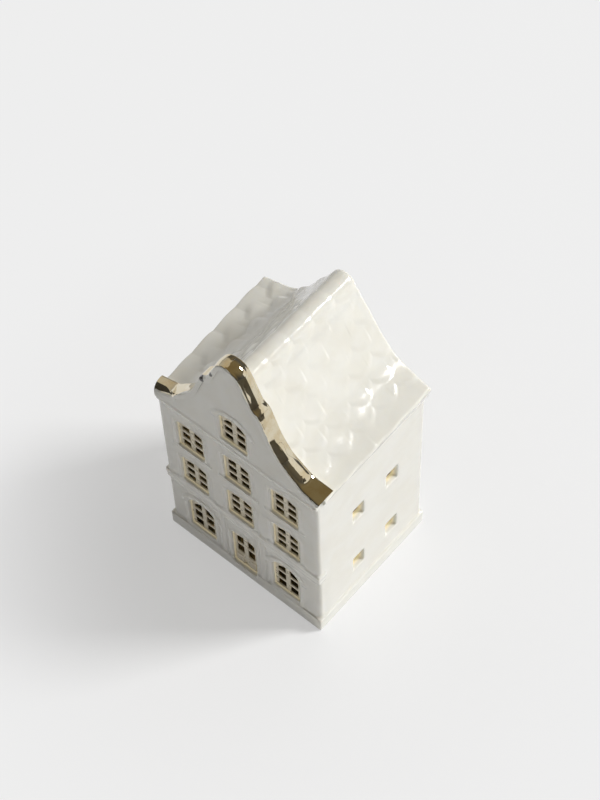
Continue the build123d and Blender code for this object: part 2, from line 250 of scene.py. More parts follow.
# Tealight
cup_radius = 19.2 * mm
cup_foot = 4.1 * mm
cup_rim_height = 20.6 * mm
cup_wall = 0.4 * mm
cup_corner = 1.2 * mm
cup_lip = 0.25 * mm
cup_pleats = 48
cup_pleat_depth = 0.05 * mm
cup_steps = 192
wax_foot = 4.5 * mm
wax_height = 12.5 * mm
wax_radius = 18.75 * mm
wax_meniscus = 0.7 * mm
wax_dip = 0.35 * mm
wax_dip_share = 0.35
wax_wick_share = 0.1
wax_foot_room = 4.0 * mm
wax_gap = 0.05 * mm
wax_hole_depth = 0.6 * mm
wax_shares = (0.98, 0.95, 0.9, 0.8, 0.65, 0.5, 0.35, 0.2, 0.12, 0.08)
wax_steps = 128
wick_foot_radius = 2.0 * mm
wick_radius = 0.7 * mm
wick_foot = 4.9 * mm
wick_length = 18.5 * mm
wick_strands = 3
wick_turns = 4.5
wick_rows = 90
wick_tip_share = 0.15
wick_tip_taper = 30.0
strand_steps = 12
lathe_sharp_turn = radians(40.0)

# Sockets of a mix node that take and give colours
mix_share = 0
mix_first = 6
mix_second = 7
mix_result = 2


def new_tree(name):
    """New material, its node tree and its shader."""
    material = bpy.data.materials.new(name)
    material.use_nodes = True
    tree = material.node_tree
    return material, tree, tree.nodes["Principled BSDF"]


def fill(tree, node, inputs):
    """Fills a node's inputs with values or other sockets."""
    for name, value in inputs.items():
        if isinstance(value, bpy.types.NodeSocket):
            tree.links.new(value, node.inputs[name])
        else:
            node.inputs[name].default_value = value


def linked(tree, kind, inputs, **values):
    """Adds a node or group, sets its properties and fills its inputs."""
    node = tree.nodes.new(kind)
    for name, value in values.items():
        setattr(node, name, value)
    fill(tree, node, inputs)
    return node


def noise(tree, place, scale, detail=2.0, roughness=0.5):
    """Smooth noise over the object, as a value."""
    inputs = {"Vector": place, "Scale": scale, "Detail": detail, "Roughness": roughness}
    return linked(tree, "ShaderNodeTexNoise", inputs).outputs["Fac"]


def remap(tree, value, low, high, to_low=0.0, to_high=1.0):
    """A value moved from one range to another, eased at both ends."""
    inputs = {"Value": value, "From Min": low, "From Max": high, "To Min": to_low, "To Max": to_high}
    return linked(tree, "ShaderNodeMapRange", inputs, interpolation_type="SMOOTHSTEP").outputs["Result"]


def arithmetic(tree, operation, first, second=0.0):
    """One step of arithmetic on two values."""
    return linked(tree, "ShaderNodeMath", {0: first, 1: second}, operation=operation).outputs["Value"]


def mixed_colour(tree, share, first, second):
    """Colour between two others, by the colour sockets of a mix node."""
    inputs = {mix_share: share, mix_first: first, mix_second: second}
    return linked(tree, "ShaderNodeMix", inputs, data_type="RGBA").outputs[mix_result]


def group_tree(name, inputs, outputs):
    """Shader node group with named sockets."""
    group = bpy.data.node_groups.new(name, "ShaderNodeTree")
    for socket, kind in inputs:
        group.interface.new_socket(socket, in_out="INPUT", socket_type=kind)
    for socket, kind in outputs:
        group.interface.new_socket(socket, in_out="OUTPUT", socket_type=kind)
    return group, group.nodes.new("NodeGroupInput"), group.nodes.new("NodeGroupOutput")


def glaze_surface_group():
    """Uneven clear glaze: where it pools, how its gloss varies and how it undulates."""
    group, given, made = group_tree(
        "glaze_surface",
        [("Place", "NodeSocketVector"), ("Pool Scale", "NodeSocketFloat"),
         ("Wave Scale", "NodeSocketFloat")],
        [("Pooling", "NodeSocketFloat"), ("Gloss", "NodeSocketFloat"), ("Height", "NodeSocketFloat")])
    place = given.outputs["Place"]
    pool = noise(group, place, given.outputs["Pool Scale"], 3.0)
    wave = noise(group, place, given.outputs["Wave Scale"], 1.0)
    pinhole_scale = arithmetic(group, "MULTIPLY", given.outputs["Wave Scale"], 14.0)
    pinhole = remap(group, noise(group, place, pinhole_scale, 0.0), 0.74, 0.82)
    dimple = arithmetic(group, "MULTIPLY", pinhole, 0.08)
    fill(group, made, {
        "Pooling": remap(group, pool, 0.35, 0.7),
        "Gloss": remap(group, pool, 0.3, 0.75, 0.1, 0.2),
        "Height": arithmetic(group, "SUBTRACT", wave, dimple)})
    return group


def depth_under_roof(tree, across, height):
    """How far a point lies under the roof's underside."""
    under_apex = arithmetic(tree, "SUBTRACT", soffit_apex_z, height)
    drop = arithmetic(tree, "MULTIPLY", under_apex, cos(roof_pitch))
    fall = arithmetic(tree, "MULTIPLY", across, sin(roof_pitch))
    under_straight = arithmetic(tree, "SUBTRACT", drop, fall)
    offset_x = arithmetic(tree, "SUBTRACT", across, sweep_middle_x)
    offset_z = arithmetic(tree, "SUBTRACT", height, sweep_middle_z)
    squares = arithmetic(
        tree, "ADD", arithmetic(tree, "POWER", arithmetic(tree, "ABSOLUTE", offset_x), 2.0),
        arithmetic(tree, "POWER", arithmetic(tree, "ABSOLUTE", offset_z), 2.0))
    under_sweep = arithmetic(tree, "SUBTRACT", arithmetic(tree, "SQRT", squares), soffit_radius)
    swept = arithmetic(tree, "GREATER_THAN", across, sweep_start_x)
    step = arithmetic(tree, "SUBTRACT", under_sweep, under_straight)
    return arithmetic(tree, "ADD", under_straight, arithmetic(tree, "MULTIPLY", swept, step))


def lustre_lining_group():
    """Gold lustre inside the house, the stain beyond its ragged edge, and where a painted glow lights the
    windows' reveals.
    """
    group, given, made = group_tree(
        "lustre_lining",
        [("Place", "NodeSocketVector"), ("Bleed", "NodeSocketFloat")],
        [("Lining", "NodeSocketFloat"), ("Stain", "NodeSocketFloat"), ("Painted Glow", "NodeSocketFloat")])
    place = given.outputs["Place"]
    ragged = remap(group, noise(group, place, 260.0, 3.0), 0.3, 0.7, -0.5, 0.5)
    reach = arithmetic(group, "MULTIPLY", ragged, given.outputs["Bleed"])
    axes = linked(group, "ShaderNodeSeparateXYZ", {"Vector": place}).outputs
    across = arithmetic(group, "ABSOLUTE", axes["X"])
    depth = arithmetic(group, "SUBTRACT", inner_half_width, across)
    front = arithmetic(group, "SUBTRACT", axes["Y"], lattice_back)
    rear = arithmetic(group, "SUBTRACT", back_wall_inside, axes["Y"])
    walls = arithmetic(group, "MINIMUM", depth, arithmetic(group, "MINIMUM", front, rear))
    over_floor = arithmetic(group, "SUBTRACT", axes["Z"], floor_top)
    room = arithmetic(group, "MINIMUM", depth_under_roof(group, across, axes["Z"]), over_floor)
    inside = arithmetic(group, "MINIMUM", walls, room)
    edge = arithmetic(group, "ADD", inside, arithmetic(group, "ADD", reach, given.outputs["Bleed"]))
    under_ridge = remap(group, axes["Z"], *stain_height)
    # masks of the painted glow, an emission on the side and front windows' reveals
    along = remap(group, arithmetic(group, "ABSOLUTE", axes["Y"]), *side_reveal_length)
    wall = arithmetic(group, "MULTIPLY", along, remap(group, axes["Z"], *side_reveal_height))
    side_reveal = arithmetic(group, "MULTIPLY", remap(group, depth, *side_reveal_depth), wall)
    before_lattice = arithmetic(group, "SUBTRACT", axes["Y"], lattice_front)
    front_reveal = arithmetic(
        group, "MULTIPLY", remap(group, before_lattice, *front_reveal_depth, 0.0, front_reveal_share),
        remap(group, depth, *front_reveal_side))
    in_front = remap(group, before_lattice, *front_reveal_back)
    front_reveal = arithmetic(group, "MULTIPLY", front_reveal, in_front)
    fill(group, made, {
        "Lining": remap(group, edge, *lining_edge),
        "Stain": arithmetic(group, "MULTIPLY", remap(group, inside, *stain_depth), under_ridge),
        "Painted Glow": arithmetic(group, "MAXIMUM", side_reveal, front_reveal)})
    return group


glaze_surface = glaze_surface_group()
lustre_lining = lustre_lining_group()


def object_place(tree):
    """Place on the object, in metres."""
    return tree.nodes.new("ShaderNodeTexCoord").outputs["Object"]


def glazed(tree, place, pool_scale, wave_scale):
    """The uneven glaze at its own scales, as the group's outputs."""
    inputs = {"Place": place, "Pool Scale": pool_scale, "Wave Scale": wave_scale}
    return linked(tree, "ShaderNodeGroup", inputs, node_tree=glaze_surface).outputs


def bump(tree, height, distance, strength):
    """Normal that a height gives the surface."""
    inputs = {"Height": height, "Distance": distance, "Strength": strength}
    return linked(tree, "ShaderNodeBump", inputs).outputs["Normal"]


# Colours of the glaze, the lustre and the gold, and the glaze's refraction
white_glaze = (0.80, 0.787, 0.725, 1.0)
pooled_glaze = (0.775, 0.755, 0.68, 1.0)
cream_lustre = (0.78, 0.71, 0.56, 1.0)
worn_lustre = (0.70, 0.61, 0.44, 1.0)
lustre_stain = (0.86, 0.68, 0.34, 1.0)
unlit = (0.0, 0.0, 0.0, 1.0)
# painted glow: emission colour of the windows' reveals, standing in for light through the clay
painted_reveal_glow = (0.40, 0.34, 0.20, 1.0)
bright_gold = (0.72, 0.65, 0.49, 1.0)
deep_gold = (0.64, 0.53, 0.34, 1.0)
near_black_dot = (0.02, 0.016, 0.008, 1.0)
# gold lustre of the lining, its colour darkened as painted shade so the room seen through the windows
# reads dark
shaded_lining_gold = (0.32, 0.25, 0.12, 1.0)
shaded_deep_lining = (0.26, 0.19, 0.08, 1.0)
pierced_gold = (0.42, 0.36, 0.21, 1.0)
glaze_ior = 1.52


def porcelain_material():
    """White porcelain under a thick clear glaze, lined inside with gold lustre that is darkened as painted
    shade, and with a painted glow on the windows' reveals.
    """
    material, tree, shader = new_tree("white_glazed_porcelain")
    place = object_place(tree)
    glaze = glazed(tree, place, 90.0, 140.0)
    lustre = linked(
        tree, "ShaderNodeGroup", {"Place": place, "Bleed": lining_bleed}, node_tree=lustre_lining).outputs
    lining = lustre["Lining"]
    clay = mixed_colour(tree, glaze["Pooling"], white_glaze, pooled_glaze)
    clay = mixed_colour(tree, lustre["Stain"], clay, lustre_stain)
    # lining gold, partly the lustre's own colour and partly painted shade inside the house
    gold = mixed_colour(tree, glaze["Pooling"], shaded_lining_gold, shaded_deep_lining)
    brushed = arithmetic(tree, "MULTIPLY", lining, 0.15)
    bare = arithmetic(tree, "SUBTRACT", 1.0, lining)
    # painted glow on the windows' reveals, emitted where the clay is bare
    painted_glow = arithmetic(tree, "MULTIPLY", lustre["Painted Glow"], bare)
    fill(tree, shader, {
        "Base Color": mixed_colour(tree, lining, clay, gold),
        "Metallic": arithmetic(tree, "MULTIPLY", lining, 0.9),
        "Roughness": arithmetic(tree, "ADD", glaze["Gloss"], brushed),
        "IOR": glaze_ior,
        "Coat Weight": 0.25,
        "Coat Roughness": 0.06,
        "Emission Color": mixed_colour(tree, painted_glow, unlit, painted_reveal_glow),
        "Emission Strength": 1.0,
        "Subsurface Weight": 0.2,
        "Subsurface Radius": (2.0 * mm, 1.8 * mm, 1.4 * mm),
        "Subsurface Scale": 1.0,
        "Normal": bump(tree, glaze["Height"], 0.25 * mm, 0.35)})
    return material


def lattice_material():
    """Cream stained glaze on the pierced lattices, gilt inside their holes."""
    material, tree, shader = new_tree("cream_lattice_lustre")
    place = object_place(tree)
    glaze = glazed(tree, place, 220.0, 260.0)
    across = linked(tree, "ShaderNodeSeparateXYZ", {"Vector": place}).outputs["Y"]
    bloom = remap(tree, noise(tree, place, 420.0, 3.0), 0.5, 0.68, 0.0, 0.35)
    rear = remap(tree, across, *pierced_depth)
    gilt = arithmetic(tree, "MAXIMUM", rear, bloom)
    cream = mixed_colour(tree, glaze["Pooling"], cream_lustre, worn_lustre)
    fill(tree, shader, {
        "Base Color": mixed_colour(tree, gilt, cream, pierced_gold),
        "Metallic": arithmetic(tree, "MULTIPLY", gilt, 0.95),
        "Roughness": remap(tree, gilt, 0.0, 1.0, 0.3, 0.14),
        "IOR": glaze_ior,
        "Normal": bump(tree, glaze["Height"], 0.12 * mm, 0.4)})
    return material


def gold_material():
    """Mirror-bright gold lustre, a little browner in places and wiped off the coping's front."""
    material, tree, shader = new_tree("gold_lustre")
    place = object_place(tree)
    film = noise(tree, place, 150.0, 4.0, 0.6)
    thin = remap(tree, film, 0.42, 0.68)
    ragged = remap(tree, noise(tree, place, 330.0, 2.0), 0.3, 0.7, -wiped_rag, wiped_rag)
    axes = linked(tree, "ShaderNodeSeparateXYZ", {"Vector": place}).outputs
    at_end = remap(tree, axes["X"], *wiped_end, *wiped_end_depths)
    from_end = remap(tree, axes["X"], *wiped_flank_foot, 0.0, wiped_flank_depth)
    on_flank = arithmetic(tree, "MULTIPLY", from_end, remap(tree, axes["X"], *wiped_flank_top))
    limit = arithmetic(tree, "ADD", arithmetic(tree, "ADD", at_end, on_flank), coping_front)
    depth = arithmetic(tree, "SUBTRACT", arithmetic(tree, "ADD", axes["Y"], ragged), limit)
    wiped = remap(tree, depth, *wiped_edge)
    gold = mixed_colour(tree, wiped, mixed_colour(tree, thin, bright_gold, deep_gold), white_glaze)
    # two near-black dots painted on the coping's front
    for middle in dark_dot_centres:
        reach = linked(tree, "ShaderNodeVectorMath", {0: place, 1: middle}, operation="DISTANCE")
        drop = remap(tree, reach.outputs["Value"], dark_dot_radius, 0.75 * dark_dot_radius)
        gold = mixed_colour(tree, drop, gold, near_black_dot)
    fill(tree, shader, {
        "Base Color": gold,
        "Metallic": arithmetic(tree, "SUBTRACT", 1.0, wiped),
        "Roughness": remap(tree, film, 0.3, 0.75, 0.03, 0.09),
        "Normal": bump(tree, noise(tree, place, 120.0, 1.5), 0.3 * mm, 0.12)})
    return material


def foil_material():
    """Bright pressed aluminium foil with faint draw lines."""
    material, tree, shader = new_tree("pressed_aluminium_foil")
    place = object_place(tree)
    axes = linked(tree, "ShaderNodeMapping", {"Vector": place, "Scale": (900.0, 900.0, 60.0)})
    drawn = noise(tree, axes.outputs["Vector"], 1.0, 2.0)
    bright, dull = (0.83, 0.83, 0.84, 1.0), (0.68, 0.68, 0.70, 1.0)
    fill(tree, shader, {
        "Base Color": mixed_colour(tree, drawn, bright, dull),
        "Roughness": remap(tree, drawn, 0.2, 0.8, 0.16, 0.32),
        "Metallic": 1.0,
        "Normal": bump(tree, drawn, 0.05 * mm, 0.5)})
    return material


def wax_material():
    """Satin paraffin wax, faintly crystalline."""
    material, tree, shader = new_tree("paraffin_wax")
    place = object_place(tree)
    bloom = noise(tree, place, 380.0, 4.0, 0.6)
    clear, frosted = (0.86, 0.83, 0.74, 1.0), (0.91, 0.89, 0.83, 1.0)
    fill(tree, shader, {
        "Base Color": mixed_colour(tree, bloom, clear, frosted),
        "Roughness": remap(tree, bloom, 0.25, 0.75, 0.35, 0.55),
        "Subsurface Weight": 0.2,
        "Subsurface Radius": (2.0 * mm, 1.6 * mm, 1.1 * mm),
        "Normal": bump(tree, bloom, 0.08 * mm, 0.4)})
    return material


def tin_material():
    """Dull tin plate of the wick's foot."""
    material, tree, shader = new_tree("tin_plate")
    place = object_place(tree)
    spangle = noise(tree, place, 900.0, 3.0)
    pale, grey = (0.70, 0.70, 0.69, 1.0), (0.50, 0.50, 0.50, 1.0)
    fill(tree, shader, {
        "Base Color": mixed_colour(tree, spangle, pale, grey),
        "Roughness": remap(tree, spangle, 0.2, 0.8, 0.3, 0.5),
        "Metallic": 1.0})
    return material


def cotton_material():
    """Waxed cotton wick."""
    material, tree, shader = new_tree("waxed_cotton")
    place = object_place(tree)
    fibre = noise(tree, place, 2600.0, 4.0, 0.7)
    pale, waxed = (0.88, 0.86, 0.79, 1.0), (0.74, 0.70, 0.60, 1.0)
    fill(tree, shader, {
        "Base Color": mixed_colour(tree, fibre, pale, waxed),
        "Roughness": remap(tree, fibre, 0.2, 0.8, 0.55, 0.8),
        "Normal": bump(tree, fibre, 0.08 * mm, 0.6)})
    return material


porcelain = porcelain_material()
lattice_glaze = lattice_material()
gold_lustre = gold_material()
aluminium_foil = foil_material()
wax = wax_material()
tin_plate = tin_material()
cotton = cotton_material()


def add_piece(name, mesh, material, body, node):
    """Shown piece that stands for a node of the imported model."""
    mesh.materials.clear()
    mesh.materials.append(material)
    piece = bpy.data.objects.new(name, mesh)
    scene.collection.objects.link(piece)
    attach(piece, body)
    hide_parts(node)
    return piece


def skinned(work, rings):
    """Joins closed rings of points into a skin and closes its two ends."""
    around = len(rings[0])
    for near, far in zip(rings, rings[1:]):
        for step in range(around):
            after = (step + 1) % around
            work.faces.new((near[step], near[after], far[after], far[step]))
    work.faces.new(list(reversed(rings[0])))
    work.faces.new(rings[-1])


def write_smooth(work, mesh, sharp_turn=None):
    """Writes a skin out with outward normals, smooth but for edges that turn more sharply than stated."""
    bmesh.ops.recalc_face_normals(work, faces=work.faces)
    for face in work.faces:
        face.smooth = True
    work.to_mesh(mesh)
    work.free()
    if sharp_turn is not None:
        mesh.set_sharp_from_angle(angle=sharp_turn)
    return mesh


def run_on_past_seams(work, seams):
    """Lengthens a piece past its luted faces, so that softening leaves their edges alone."""
    for axis, level, way in seams:
        for vert in work.verts:
            if abs(vert.co[axis] - level) < seam_reach:
                vert.co[axis] += way * seam_run_on


def cut_back_to_seams(work, seams):
    """Cuts a softened piece flat again at its luted faces."""
    for axis, level, way in seams:
        normal = Vector((0.0, 0.0, 0.0))
        normal[axis] = way
        place = Vector((0.0, 0.0, 0.0))
        place[axis] = level
        geometry = list(work.verts) + list(work.edges) + list(work.faces)
        cut = bmesh.ops.bisect_plane(
            work, geom=geometry, dist=1e-7, plane_co=place, plane_no=normal, clear_outer=True)
        rim = [item for item in cut["geom_cut"] if isinstance(item, bmesh.types.BMEdge)]
        bmesh.ops.triangle_fill(work, use_beauty=True, use_dissolve=False, edges=rim)


def softened(node, seams=(), voxel=glaze_voxel, passes=glaze_passes, share=kept_share):
    """Mesh of a node with its edges softened as under a thick glaze, flat at its luted faces."""
    work = bmesh.new()
    work.from_mesh(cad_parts[node].data)
    bmesh.ops.remove_doubles(work, verts=work.verts, dist=1e-6)
    run_on_past_seams(work, seams)
    mesh = bpy.data.meshes.new(f"{node}_soft")
    work.to_mesh(mesh)
    work.free()
    clay = bpy.data.objects.new(f"{node}_clay", mesh)
    scene.collection.objects.link(clay)
    remesh = clay.modifiers.new("remesh", "REMESH")
    remesh.mode = "VOXEL"
    remesh.voxel_size = voxel
    smooth = clay.modifiers.new("smooth", "SMOOTH")
    smooth.factor = glaze_pull
    smooth.iterations = passes
    thin = clay.modifiers.new("thin", "DECIMATE")
    thin.ratio = share
    ready = bpy.data.meshes.new_from_object(clay.evaluated_get(bpy.context.evaluated_depsgraph_get()))
    bpy.data.objects.remove(clay)
    work = bmesh.new()
    work.from_mesh(ready)
    cut_back_to_seams(work, seams)
    return write_smooth(work, ready, clay_sharp_turn)


# Porcelain pieces and the luted faces of each: axis, level and outward way
porcelain_seams = {
    "front_facade": [(1, facade_back, 1)],
    "back_wall": [(1, back_wall_inside, -1)],
    "left_wall": [(1, facade_back, -1), (1, back_wall_inside, 1), (2, wall_top, 1)],
    "right_wall": [(1, facade_back, -1), (1, back_wall_inside, 1), (2, wall_top, 1)],
}
for node, seams in porcelain_seams.items():
    add_piece(f"{node}_glazed", softened(node, seams), porcelain, "house", node)


def eased(value, low, high):
    """Share of the way from one value to another, eased at both ends."""
    share = min(1.0, max(0.0, (value - low) / (high - low)))
    return share * share * (3 - 2 * share)


def roof_section(way):
    """Point and normal of the right slope's section, at a way down from the top of the ridge."""
    run = way - ridge_arc + ridge_tangent
    if way < ridge_arc:
        pitch = way / ridge_radius
        point = (ridge_radius * sin(pitch), ridge_middle_z + ridge_radius * cos(pitch))
    elif run < straight_run:
        pitch = roof_pitch
        point = (run * cos(pitch), roof_apex_z - run * sin(pitch))
    else:
        pitch = roof_pitch - (run - straight_run) / roof_sweep_radius
        x = sweep_middle_x - roof_sweep_radius * sin(pitch)
        point = (x, sweep_middle_z - roof_sweep_radius * cos(pitch))
    return Vector((point[0], 0.0, point[1])), Vector((sin(pitch), 0.0, cos(pitch)))


def tiles_along(course, y, start):
    """Tiles from the facade to a place, for courses that are staggered by half a tile in turn."""
    shift = start + (0.5 if course % 2 == 0 else 0.0)
    return (y - facade_back) / tile_width - shift


def course_edge(course, y):
    """Run at which a course's scalloped edge lies."""
    if course == course_count:
        return 2 * slope_run
    across = tiles_along(course, y, scallop_start) % 1.0
    return course * course_run - scallop_depth * (2 * across - 1) ** 2


def tile_share(course, y):
    """How far a tile stands out beside its neighbours, differing by hand from tile to tile."""
    number = floor(tiles_along(course, y, tile_start))
    by_hand = lumps.noise(Vector((1.7 * course + 0.3, 2.3 * number + 0.6, 0.5)))
    return max(least_tile_share, usual_tile_share + tile_share_spread * by_hand)


def tile_height(run, y, relief, softness, crown):
    """Height of the tiles over the slope: low steps at the courses and at the joints between tiles."""
    height = 0.0
    covered = 1.0
    joint = softness * tile_joint_width / tile_width
    for course in range(2, course_count + 1):
        soft = softness * course_softness[course]
        past = eased(run, course_edge(course, y) - soft, course_edge(course, y) + soft)
        shown = covered - past
        covered = past
        if shown <= 0.0:
            continue
        across = tiles_along(course, y, tile_start) % 1.0
        turn = eased(across, 1 - joint, 1.0)
        lap = across / (1 - joint) if across < 1 - joint else 1 - turn
        share = tile_share(course, y) * (1 - turn) + tile_share(course, y + tile_width) * turn
        ramp = run / course_run - course + 1
        joint_rise = tile_joint_rise * (1 - low_joint_cut * eased(course, *low_courses))
        height += shown * share * ramp * (course_rises[course] + joint_rise * lap * ramp)
        height += shown * crown * eased(course, *crowned_courses) * (1 - (2 * across - 1) ** 2)
    return relief * height


def roof_height(way, y, *tiles):
    """Height of the glazed tiles and ridge caps over the plain roof."""
    run = way - ridge_arc + ridge_tangent if way > ridge_arc else way * ridge_tangent / ridge_arc
    along = (y - cap_front) / cap_pitch % 1.0
    step = eased(along, cap_step_start, 1.0)
    rise = cap_low_rise + (cap_high_rise - cap_low_rise) * along * (1 - step)
    edge = cap_cusp_run + (cap_tip_run - cap_cusp_run) * (1 - (2 * along - 1) ** 2)
    capped = 1 - eased(run, edge - cap_feather_in, edge + cap_feather_out)
    return capped * rise + (1 - capped) * tile_height(run, y, *tiles)


def roof_point(way, y):
    """Place on the glazed roof; way is negative on the left slope."""
    reach = abs(way)
    wave = eave_wave * cos(2 * pi * (y - facade_back) / tile_width)
    point, normal = roof_section(reach + wave * eased(reach, eave_way - eave_wave_run, eave_way))
    tiles = right_tiles if way >= 0 else left_tiles
    height = roof_height(reach, y, *tiles)
    height += hand_wobble * lumps.noise(Vector((way / wobble_run, y / wobble_width, 0.0)))
    for room in (eave_way - reach, roof_back - y):
        if room < roof_rim:
            height -= roof_rim - (roof_rim ** 2 - (roof_rim - max(0.0, room)) ** 2) ** 0.5
    corner = eased(reach, eave_way - corner_reach, eave_way) * eased(y, facade_back, roof_back)
    point = point + normal * height + Vector((corner_spread, 0.0, corner_lift)) * corner
    return Vector((point.x if way >= 0 else -point.x, y, point.z))


def spaced(low, high, step, rim=False):
    """Even places between two limits, closer together at the end where a rim is rounded."""
    count = round((high - low) / step)
    places = [low + (high - low) * index / count for index in range(count + 1)]
    if rim:
        places += [high - share * roof_rim for share in rim_shares]
    return sorted(places)


def grid_normal(grid, row, column):
    """Normal of a grid of points at one of them."""
    last = len(grid[row]) - 1
    down = grid[row + 1][column] - grid[row - 1][column]
    along = grid[row][min(last, column + 1)] - grid[row][max(0, column - 1)]
    return along.cross(down).normalized()


def roof_mesh(name, ways):
    """Closed shell of a stretch of the roof, down to its underside."""
    columns = spaced(facade_back, roof_back, roof_column_step, rim=True)
    ghosts = [2 * ways[0] - ways[1], *ways, 2 * ways[-1] - ways[-2]]
    grid = [[roof_point(max(-eave_way, min(eave_way, way)), y) for y in columns] for way in ghosts]
    mesh = bpy.data.meshes.new(name)
    work = bmesh.new()
    top = [[work.verts.new(point) for point in row] for row in grid[1:-1]]
    under = []
    for way in ways:
        point, normal = roof_section(abs(way))
        point = point - normal * roof_thickness
        side = 1 if way >= 0 else -1
        under.append([work.verts.new((side * point.x, y, point.z)) for y in (columns[0], columns[-1])])
    for row in range(len(ways) - 1):
        for column in range(len(columns) - 1):
            face = work.faces.new((
                top[row][column], top[row][column + 1], top[row + 1][column + 1], top[row + 1][column]))
            face.smooth = True
        work.faces.new((under[row][0], under[row + 1][0], under[row + 1][1], under[row][1]))
        work.faces.new((top[row][0], top[row + 1][0], under[row + 1][0], under[row][0]))
        work.faces.new((top[row][-1], under[row][1], under[row + 1][1], top[row + 1][-1]))
    work.faces.new([*reversed(top[0]), under[0][0], under[0][1]])
    work.faces.new([*top[-1], under[-1][1], under[-1][0]])
    work.verts.index_update()
    work.to_mesh(mesh)
    work.free()
    places = [(row + 1, column) for row in range(len(ways)) for column in range(len(columns))]
    normals = [grid_normal(grid, row, column) for row, column in places]
    loops = []
    for face in mesh.polygons:
        for vertex in face.vertices:
            loops.append(normals[vertex] if face.use_smooth else face.normal)
    mesh.normals_split_custom_set(loops)
    return mesh


ridge_way = ridge_piece_run - ridge_tangent + ridge_arc
slope_ways = spaced(ridge_way, eave_way, slope_row_step, rim=True)
roof_ways = {
    "right_roof_slope": slope_ways,
    "left_roof_slope": [-way for way in reversed(slope_ways)],
    "ridge_caps": spaced(-ridge_way, ridge_way, ridge_row_step),
}
for node, ways in roof_ways.items():
    add_piece(f"{node}_glazed", roof_mesh(f"{node}_glazed", ways), porcelain, "house", node)


def gable_sweep_pitch(left):
    """Pitch of the gable's sweep where this much of it is left before the eave, flat at its very end."""
    swept = eave_pitch + left / gable_sweep_radius
    heel = max(swept, coping_heel_pitch)
    turned = eased(left, coping_end_flat, coping_end_flat + coping_heel_run)
    return coping_end_pitch + (heel - coping_end_pitch) * turned


def gable_outline():
    """Points along the top of the gable from its left end to its right end."""
    middle_x = gable_half_width + gable_sweep_radius * sin(eave_pitch)
    middle_z = gable_eave_height + gable_sweep_radius * cos(eave_pitch)
    sweep_x = middle_x - gable_sweep_radius * sin(gable_pitch)
    sweep_z = middle_z - gable_sweep_radius * cos(gable_pitch)
    crown_x = crown_radius * sin(neck_pitch)
    crown_z = crown_height - crown_radius * (1 - cos(neck_pitch))
    corners = [
        (crown_x, crown_z),
        (crown_x + (crown_z - neck_height) / tan(neck_pitch), neck_height),
        (sweep_x - (shoulder_height - sweep_z) / tan(gable_pitch), shoulder_height),
        (sweep_x, sweep_z),
    ]
    points = []
    arc_steps = round(crown_radius * neck_pitch / coping_step)
    for step in range(arc_steps):
        angle = neck_pitch * step / arc_steps
        points.append((crown_radius * sin(angle), crown_height - crown_radius * (1 - cos(angle))))
    for start, end in zip(corners, corners[1:]):
        length = ((end[0] - start[0]) ** 2 + (end[1] - start[1]) ** 2) ** 0.5
        count = max(1, round(length / coping_step))
        for step in range(count):
            share = step / count
            x = start[0] + (end[0] - start[0]) * share
            z = start[1] + (end[1] - start[1]) * share
            points.append((x, z))
    sweep_length = gable_sweep_radius * (gable_pitch - eave_pitch)
    count = round(sweep_length / coping_step)
    x, z = corners[-1]
    for step in range(count + 1):
        points.append((x, z))
        pitch = gable_sweep_pitch(sweep_length * (1 - (step + 0.5) / count))
        x += cos(pitch) * sweep_length / count
        z -= sin(pitch) * sweep_length / count
    whole = [(-x, z) for x, z in reversed(points[1:])] + points
    for _ in range(coping_corner_passes):
        inner = [
            ((a[0] + 2 * b[0] + c[0]) / 4, (a[1] + 2 * b[1] + c[1]) / 4)
            for a, b, c in zip(whole, whole[1:], whole[2:])]
        whole = [whole[0], *inner, whole[-1]]
    return whole


def coping_dome(x, z, left):
    """How far the coping's middle stands over its edges, along the gable."""
    neck = eased(z, shoulder_height - 1 * mm, neck_height + 2 * mm)
    flank = eased(z, flank_dome_start, flank_dome_full) * (1 - neck)
    foot = eased(left, coping_end_flat, coping_end_flat + 4 * mm)
    rise = neck_dome * neck + flank_dome * flank + foot_dome * foot * (1 - neck) * (1 - flank)
    return rise if x > 0 else left_dome_share * rise


def coping_section(depth, dome, front_edge):
    """Section of the coping: place across its depth and height over the gable's outline."""
    section = [(0.0, -max(coping_bed, 1.05 * front_edge))]
    for step in range(coping_edge_steps + 1):
        angle = radians(90.0 * step / coping_edge_steps)
        section.append((front_edge * (1 - cos(angle)), front_edge * (sin(angle) - 1)))
    flat = depth - front_edge - coping_edge
    for step in range(1, coping_flat_steps):
        share = step / coping_flat_steps
        section.append((front_edge + flat * share, dome * (1 - (2 * share - 1) ** 2)))
    for step in range(coping_edge_steps, -1, -1):
        angle = radians(90.0 * step / coping_edge_steps)
        section.append((depth - coping_edge * (1 - cos(angle)), coping_edge * (sin(angle) - 1)))
    section.append((depth, -coping_bed))
    return section


